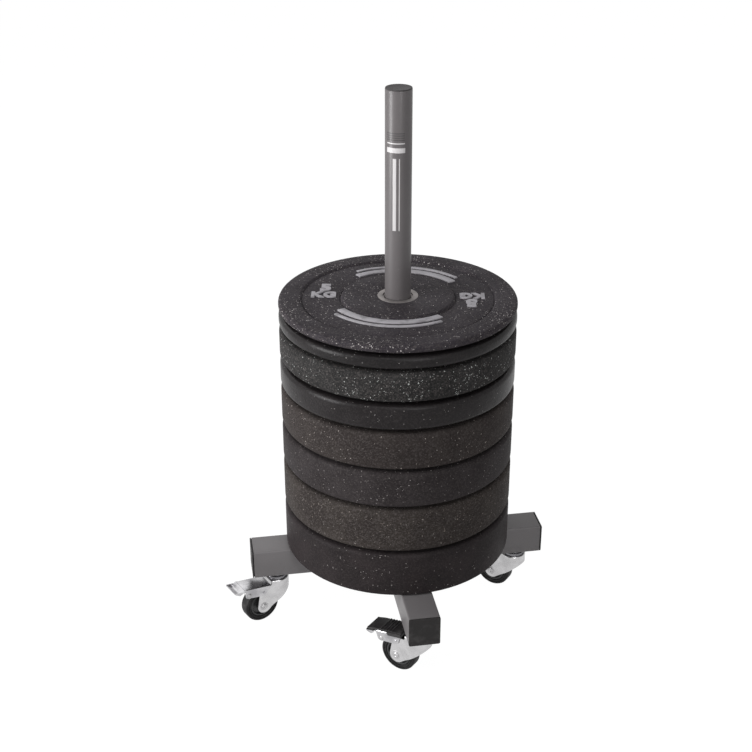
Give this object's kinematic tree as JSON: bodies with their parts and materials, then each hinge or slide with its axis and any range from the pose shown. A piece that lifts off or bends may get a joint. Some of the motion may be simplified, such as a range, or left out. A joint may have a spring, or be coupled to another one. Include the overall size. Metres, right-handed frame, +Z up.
{
  "type": "weight plate cart",
  "caption": "Rolling stand for gym weights: a cross of square tubes on swivel casters with an upright post, loaded with a stack of round rubber plates.",
  "frame": {"origin": "on the floor, under the middle of the outline's box; the post stands 28.8 mm along +X from it", "axes": "+Z up along the post, -Y along the front arm, whose caster has the covered pedal, and -X along the left arm, whose caster has the bare pedal"},
  "size_m": [0.6561, 0.6, 1.0856],
  "materials": {
    "grey_paint": "satin",
    "black_plastic": "fine grain",
    "zinc_plate": "bright zinc plated",
    "crumb_rubber": "pressed crumb, matte",
    "tread_rubber": "matte",
    "wheel_nylon": "moulded"
  },
  "bodies": {
    "cart": {"post_tube": "grey_paint", "post_cap": "black_plastic", "post_flange": "grey_paint", "flange_bolt_left": "zinc_plate", "flange_bolt_front": "zinc_plate", "flange_bolt_right": "zinc_plate", "flange_bolt_back": "zinc_plate", "cross_beam": "grey_paint", "front_arm": "grey_paint", "back_arm": "grey_paint", "left_end_cap": "black_plastic", "left_caster_stem": "zinc_plate", "left_stem_nut": "zinc_plate", "front_end_cap": "black_plastic", "front_caster_stem": "zinc_plate", "front_stem_nut": "zinc_plate", "right_end_cap": "black_plastic", "right_caster_stem": "zinc_plate", "right_stem_nut": "zinc_plate", "back_end_cap": "black_plastic", "back_caster_stem": "zinc_plate", "back_stem_nut": "zinc_plate"},
    "left_swivel": {"left_fork": "zinc_plate", "left_axle": "zinc_plate"},
    "left_wheel": {"left_tyre": "tread_rubber", "left_wheel_hub": "wheel_nylon"},
    "left_pedal": {"left_brake_pedal": "zinc_plate", "left_brake_shoe": "zinc_plate"},
    "front_swivel": {"front_fork": "zinc_plate", "front_axle": "zinc_plate"},
    "front_wheel": {"front_tyre": "tread_rubber", "front_wheel_hub": "wheel_nylon"},
    "front_pedal": {"front_brake_pedal": "zinc_plate", "front_brake_shoe": "zinc_plate", "front_pedal_cover": "black_plastic"},
    "right_swivel": {"right_fork": "zinc_plate", "right_axle": "zinc_plate"},
    "right_wheel": {"right_tyre": "tread_rubber", "right_wheel_hub": "wheel_nylon"},
    "back_swivel": {"back_fork": "zinc_plate", "back_axle": "zinc_plate"},
    "back_wheel": {"back_tyre": "tread_rubber", "back_wheel_hub": "wheel_nylon"},
    "plate_1": {"plate_1_body": "crumb_rubber", "plate_1_hub": "zinc_plate"},
    "plate_2": {"plate_2_body": "crumb_rubber", "plate_2_hub": "zinc_plate"},
    "plate_3": {"plate_3_body": "crumb_rubber", "plate_3_hub": "zinc_plate"},
    "plate_4": {"plate_4_body": "crumb_rubber", "plate_4_hub": "zinc_plate"},
    "plate_5": {"plate_5_body": "crumb_rubber", "plate_5_hub": "zinc_plate"},
    "plate_6": {"plate_6_body": "crumb_rubber", "plate_6_hub": "zinc_plate"},
    "plate_7": {"plate_7_body": "crumb_rubber", "plate_7_hub": "zinc_plate"},
    "plate_8": {"plate_8_body": "crumb_rubber", "plate_8_hub": "zinc_plate"}
  },
  "joints": [
    {"name": "left_swivel_turn", "type": "hinge", "parent": "cart", "child": "left_swivel", "pos_m": [-0.2212, 0, 0.09], "axis": [0, 0, 1], "continuous": true},
    {"name": "left_wheel_spin", "type": "hinge", "parent": "left_swivel", "child": "left_wheel", "pos_m": [-0.25927, -0.01775, 0.0375], "axis": [0.4226, -0.9063, 0], "continuous": true},
    {"name": "left_pedal_press", "type": "hinge", "parent": "left_swivel", "child": "left_pedal", "pos_m": [-0.25927, -0.01775, 0.072], "axis": [0.4226, -0.9063, 0], "range_deg": [0, 19]},
    {"name": "front_swivel_turn", "type": "hinge", "parent": "cart", "child": "front_swivel", "pos_m": [0.0288, -0.25, 0.09], "axis": [0, 0, 1], "continuous": true},
    {"name": "front_wheel_spin", "type": "hinge", "parent": "front_swivel", "child": "front_wheel", "pos_m": [-0.00167, -0.22109, 0.0375], "axis": [-0.6884, -0.7254, 0], "continuous": true},
    {"name": "front_pedal_press", "type": "hinge", "parent": "front_swivel", "child": "front_pedal", "pos_m": [-0.00167, -0.22109, 0.072], "axis": [-0.6884, -0.7254, 0], "range_deg": [-19, 0]},
    {"name": "right_swivel_turn", "type": "hinge", "parent": "cart", "child": "right_swivel", "pos_m": [0.2788, 0, 0.09], "axis": [0, 0, 1], "continuous": true},
    {"name": "right_wheel_spin", "type": "hinge", "parent": "right_swivel", "child": "right_wheel", "pos_m": [0.24734, 0.02783, 0.0375], "axis": [-0.6626, -0.749, 0], "continuous": true},
    {"name": "back_swivel_turn", "type": "hinge", "parent": "cart", "child": "back_swivel", "pos_m": [0.0288, 0.25, 0.09], "axis": [0, 0, 1], "continuous": true},
    {"name": "back_wheel_spin", "type": "hinge", "parent": "back_swivel", "child": "back_wheel", "pos_m": [-0.01067, 0.26437, 0.0375], "axis": [-0.342, -0.9397, 0], "continuous": true},
    {"name": "plate_1_lift", "type": "slide", "parent": "cart", "child": "plate_1", "axis": [0, 0, 1], "range_m": [0, 0.91]},
    {"name": "plate_2_lift", "type": "slide", "parent": "plate_1", "child": "plate_2", "axis": [0, 0, 1], "range_m": [0, 0.82]},
    {"name": "plate_3_lift", "type": "slide", "parent": "plate_2", "child": "plate_3", "axis": [0, 0, 1], "range_m": [0, 0.72]},
    {"name": "plate_4_lift", "type": "slide", "parent": "plate_3", "child": "plate_4", "axis": [0, 0, 1], "range_m": [0, 0.64]},
    {"name": "plate_5_lift", "type": "slide", "parent": "plate_4", "child": "plate_5", "axis": [0, 0, 1], "range_m": [0, 0.56]},
    {"name": "plate_6_lift", "type": "slide", "parent": "plate_5", "child": "plate_6", "axis": [0, 0, 1], "range_m": [0, 0.51]},
    {"name": "plate_7_lift", "type": "slide", "parent": "plate_6", "child": "plate_7", "axis": [0, 0, 1], "range_m": [0, 0.44]},
    {"name": "plate_8_lift", "type": "slide", "parent": "plate_7", "child": "plate_8", "axis": [0, 0, 1], "range_m": [0, 0.41]}
  ]
}
